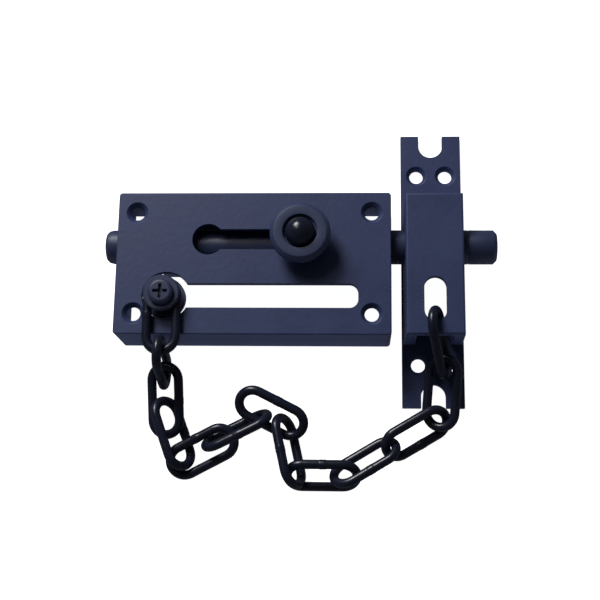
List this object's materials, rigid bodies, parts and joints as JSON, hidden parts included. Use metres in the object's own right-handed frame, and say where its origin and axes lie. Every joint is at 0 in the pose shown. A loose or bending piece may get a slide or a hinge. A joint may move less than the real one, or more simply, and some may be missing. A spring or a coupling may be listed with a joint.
{
  "type": "door chain bolt",
  "caption": "Surface-mounted sliding door bolt with a round knob, a hollow case, a welded link chain and a matching keep.",
  "frame": {"origin": "middle of the case's back, midway between its four screw holes, on the door's surface", "axes": "+X along the bolt towards the keep, +Y across the case away from the chain, +Z out of the case's front face; the assembly lies on its back, with the chain on the plane z = 0"},
  "size_m": [0.1374, 0.1291, 0.0336],
  "materials": {
    "case_coating": "die-cast zinc under a satin dark blue-black powder coat",
    "bolt_coating": "turned steel with the same dark coat, a little smoother",
    "knob_coating": "turned zinc with the same satin dark coat",
    "stud_coating": "turned steel, black coated",
    "screw_coating": "black coated steel screw with a cross recess",
    "chain_coating": "welded steel wire, black coated, semi-gloss"
  },
  "bodies": {
    "case": {"bolt_case": "case_coating"},
    "bolt": {"bolt_rod": "bolt_coating", "knob_stem": "bolt_coating", "knob_disc": "knob_coating", "knob_ball": "knob_coating"},
    "keep": {"keep_housing": "case_coating"},
    "stud": {"chain_stud": "stud_coating", "chain_washer": "stud_coating", "chain_screw": "screw_coating"},
    "link_01_body": {"chain_link_01": "chain_coating"},
    "link_02_body": {"chain_link_02": "chain_coating"},
    "link_03_body": {"chain_link_03": "chain_coating"},
    "link_04_body": {"chain_link_04": "chain_coating"},
    "link_05_body": {"chain_link_05": "chain_coating"},
    "link_06_body": {"chain_link_06": "chain_coating"},
    "link_07_body": {"chain_link_07": "chain_coating"},
    "link_08_body": {"chain_link_08": "chain_coating"},
    "link_09_body": {"chain_link_09": "chain_coating"},
    "link_10_body": {"chain_link_10": "chain_coating"},
    "link_11_body": {"chain_link_11": "chain_coating"},
    "link_12_body": {"chain_link_12": "chain_coating"},
    "link_13_body": {"chain_link_13": "chain_coating"}
  },
  "joints": [
    {"name": "bolt_slide", "type": "slide", "parent": "case", "child": "bolt", "axis": [1, 0, 0], "range_m": [-0.033, 0]},
    {"name": "keep_part", "type": "slide", "parent": "case", "child": "keep", "axis": [1, 0, 0], "range_m": [0, 0.06]},
    {"name": "stud_slide", "type": "slide", "parent": "case", "child": "stud", "axis": [1, 0, 0], "range_m": [0, 0.06]},
    {"name": "link_01_swing", "type": "hinge", "parent": "stud", "child": "link_01_body", "pos_m": [-0.0305, -0.012, 0.0219], "axis": [0, 0, 1], "range_deg": [-8, 8]},
    {"name": "link_02_swing", "type": "hinge", "parent": "link_01_body", "child": "link_02_body", "pos_m": [-0.0309, -0.0301, 0.0233], "axis": [0, 0, 1], "range_deg": [-2.7, 2.7]},
    {"name": "link_03_swing", "type": "hinge", "parent": "link_02_body", "child": "link_03_body", "pos_m": [-0.0311, -0.0324, 0.0077], "axis": [0, 0, 1], "range_deg": [-6.7, 6.7]},
    {"name": "link_04_swing", "type": "hinge", "parent": "link_03_body", "child": "link_04_body", "pos_m": [-0.0254, -0.055, 0.0035], "axis": [0, 0, 1], "range_deg": [-1.6, 1.6]},
    {"name": "link_05_swing", "type": "hinge", "parent": "link_04_body", "child": "link_05_body", "pos_m": [-0.0212, -0.0688, 0.0034], "axis": [0, 0, 1], "range_deg": [-2, 2]},
    {"name": "link_06_swing", "type": "hinge", "parent": "link_05_body", "child": "link_06_body", "pos_m": [-0.0168, -0.0594, 0.0056], "axis": [0, 0, 1], "range_deg": [-0.4, 0.4]},
    {"name": "link_07_swing", "type": "hinge", "parent": "link_06_body", "child": "link_07_body", "pos_m": [0.0041, -0.052, 0.0067], "axis": [0, 0, 1], "range_deg": [-1.7, 1.7]},
    {"name": "link_08_swing", "type": "hinge", "parent": "link_09_body", "child": "link_08_body", "pos_m": [0.0166, -0.0734, 0.0032], "axis": [0, 0, 1], "range_deg": [-3.7, 3.7]},
    {"name": "link_09_swing", "type": "hinge", "parent": "link_10_body", "child": "link_09_body", "pos_m": [0.0362, -0.0707, 0.0084], "axis": [0, 0, 1], "range_deg": [-3.4, 3.4]},
    {"name": "link_10_swing", "type": "hinge", "parent": "link_11_body", "child": "link_10_body", "pos_m": [0.0473, -0.0612, 0.0068], "axis": [0, 0, 1], "range_deg": [-1.5, 1.5]},
    {"name": "link_11_swing", "type": "hinge", "parent": "link_12_body", "child": "link_11_body", "pos_m": [0.06, -0.0491, 0.0064], "axis": [0, 0, 1], "range_deg": [-1.4, 1.4]},
    {"name": "link_12_swing", "type": "hinge", "parent": "link_13_body", "child": "link_12_body", "pos_m": [0.066, -0.0299, 0.0093], "axis": [0, 0, 1], "range_deg": [-1.6, 1.6]},
    {"name": "link_13_swing", "type": "hinge", "parent": "keep", "child": "link_13_body", "pos_m": [0.0624, -0.0228, 0.0187], "axis": [0, 0, 1], "range_deg": [-0.4, 0.4]}
  ],
  "couplings": [
    {"joint": "stud_slide", "follows": "keep_part", "ratio": 1},
    {"joint": "link_02_swing", "follows": "link_01_swing", "ratio": -0.27},
    {"joint": "link_03_swing", "follows": "link_01_swing", "ratio": -0.71},
    {"joint": "link_04_swing", "follows": "link_01_swing", "ratio": -0.15},
    {"joint": "link_05_swing", "follows": "link_01_swing", "ratio": 0.2},
    {"joint": "link_06_swing", "follows": "link_01_swing", "ratio": -0.02},
    {"joint": "link_07_swing", "follows": "link_01_swing", "ratio": -0.16},
    {"joint": "link_08_swing", "follows": "link_01_swing", "ratio": -0.38},
    {"joint": "link_09_swing", "follows": "link_01_swing", "ratio": -0.35},
    {"joint": "link_10_swing", "follows": "link_01_swing", "ratio": -0.14},
    {"joint": "link_11_swing", "follows": "link_01_swing", "ratio": 0.13},
    {"joint": "link_12_swing", "follows": "link_01_swing", "ratio": 0.15},
    {"joint": "link_13_swing", "follows": "link_01_swing", "ratio": 0.02}
  ]
}
